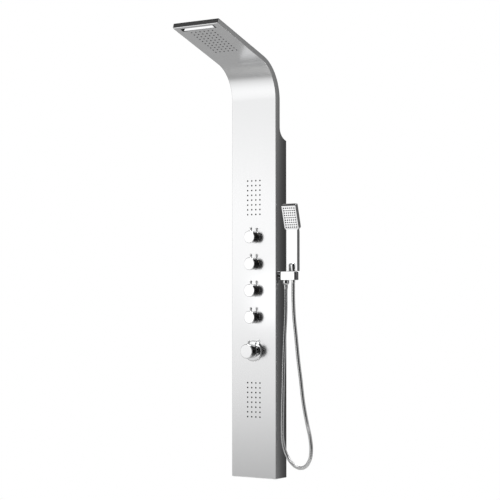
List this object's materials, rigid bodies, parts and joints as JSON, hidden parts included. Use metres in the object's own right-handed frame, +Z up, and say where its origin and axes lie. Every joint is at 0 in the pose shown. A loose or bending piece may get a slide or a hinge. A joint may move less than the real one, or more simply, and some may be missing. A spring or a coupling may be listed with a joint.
{
  "type": "rainfall shower column",
  "caption": "Wall-hung folded steel shower column with a forward-leaning rain and waterfall head, body jets, turning knobs, a lever mixer and a hand shower on a metal hose.",
  "frame": {"origin": "centre of the upper wall plate's back face, on the wall plane", "axes": "+Y into the wall, +Z up, +X towards the hand shower's side; the column's front faces -Y"},
  "size_m": [0.3664, 0.4726, 1.6882],
  "materials": {
    "brushed_panel": "fine vertical brushing",
    "chrome": "mirror plated",
    "wound_steel": "wound metal hose",
    "zinc_plate": "zinc plated",
    "brass": "machined",
    "silicone": "soft matt",
    "white_plastic": "moulded",
    "grey_plastic": "moulded",
    "water_pipe": "satin tube"
  },
  "bodies": {
    "column": {"front_shell": "brushed_panel", "rear_cover": "brushed_panel", "wall_plate_upper": "zinc_plate", "wall_plate_lower": "zinc_plate", "hanger_upper": "zinc_plate", "hanger_lower": "zinc_plate", "wall_screw_upper_left": "zinc_plate", "wall_screw_upper_right": "zinc_plate", "wall_screw_lower_left": "zinc_plate", "wall_screw_lower_right": "zinc_plate", "upper_jet_nozzle_mat": "silicone", "lower_jet_nozzle_mat": "silicone", "rain_nozzle_mat": "silicone", "upper_jet_chamber": "white_plastic", "lower_jet_chamber": "white_plastic", "rain_chamber": "white_plastic", "waterfall_spout": "chrome", "diverter_manifold": "brass", "diverter_cartridge_1": "brass", "diverter_cartridge_2": "brass", "diverter_cartridge_3": "brass", "diverter_cartridge_4": "brass", "mixer_body": "brass", "mixer_cartridge": "grey_plastic", "mixer_bonnet": "chrome", "mixer_escutcheon": "chrome", "hot_inlet": "brass", "cold_inlet": "brass", "mixed_water_pipe": "water_pipe", "rain_pipe": "water_pipe", "waterfall_pipe": "water_pipe", "upper_jet_pipe": "water_pipe", "lower_jet_pipe": "water_pipe", "handset_pipe": "water_pipe", "holder_block": "chrome", "cradle_liner": "grey_plastic", "hose_outlet_nut": "chrome", "hose_outlet_ferrule": "chrome", "shower_hose": "wound_steel"},
    "diverter_1": {"diverter_knob_1": "chrome", "diverter_lever_1": "chrome", "diverter_spindle_1": "brass"},
    "diverter_2": {"diverter_knob_2": "chrome", "diverter_lever_2": "chrome", "diverter_spindle_2": "brass"},
    "diverter_3": {"diverter_knob_3": "chrome", "diverter_lever_3": "chrome", "diverter_spindle_3": "brass"},
    "diverter_4": {"diverter_knob_4": "chrome", "diverter_lever_4": "chrome", "diverter_spindle_4": "brass"},
    "mixer_turn": {"mixer_swivel_collar": "grey_plastic"},
    "mixer_lift": {"mixer_lever_stem": "brass", "mixer_handle": "chrome", "mixer_lever": "chrome"},
    "hose_end": {"hose_handset_ferrule": "chrome"},
    "handset": {"hose_cone_nut": "chrome", "handset_body": "chrome", "handset_face_plate": "chrome", "handset_nozzle_mat": "silicone"}
  },
  "joints": [
    {"name": "diverter_1_turn", "type": "hinge", "parent": "column", "child": "diverter_1", "pos_m": [0, -0.1, -0.283], "axis": [0, 1, 0], "range_deg": [0, 90]},
    {"name": "diverter_2_turn", "type": "hinge", "parent": "column", "child": "diverter_2", "pos_m": [0, -0.1, -0.385], "axis": [0, 1, 0], "range_deg": [0, 90]},
    {"name": "diverter_3_turn", "type": "hinge", "parent": "column", "child": "diverter_3", "pos_m": [0, -0.1, -0.487], "axis": [0, 1, 0], "range_deg": [0, 90]},
    {"name": "diverter_4_turn", "type": "hinge", "parent": "column", "child": "diverter_4", "pos_m": [0, -0.1, -0.589], "axis": [0, 1, 0], "range_deg": [0, 90]},
    {"name": "mixer_temperature", "type": "hinge", "parent": "column", "child": "mixer_turn", "pos_m": [0, -0.09, -0.718], "axis": [0, 1, 0], "range_deg": [-45, 45]},
    {"name": "mixer_flow", "type": "hinge", "parent": "mixer_turn", "child": "mixer_lift", "pos_m": [0, -0.09, -0.718], "axis": [-1, 0, 0], "range_deg": [0, 15]},
    {"name": "handset_lift", "type": "slide", "parent": "column", "child": "hose_end", "axis": [0, 0, 1], "range_m": [0, 0.1]},
    {"name": "handset_swivel", "type": "hinge", "parent": "hose_end", "child": "handset", "pos_m": [0.1555, -0.042, -0.415], "axis": [0, 0, 1], "range_deg": [-35, 80]}
  ]
}
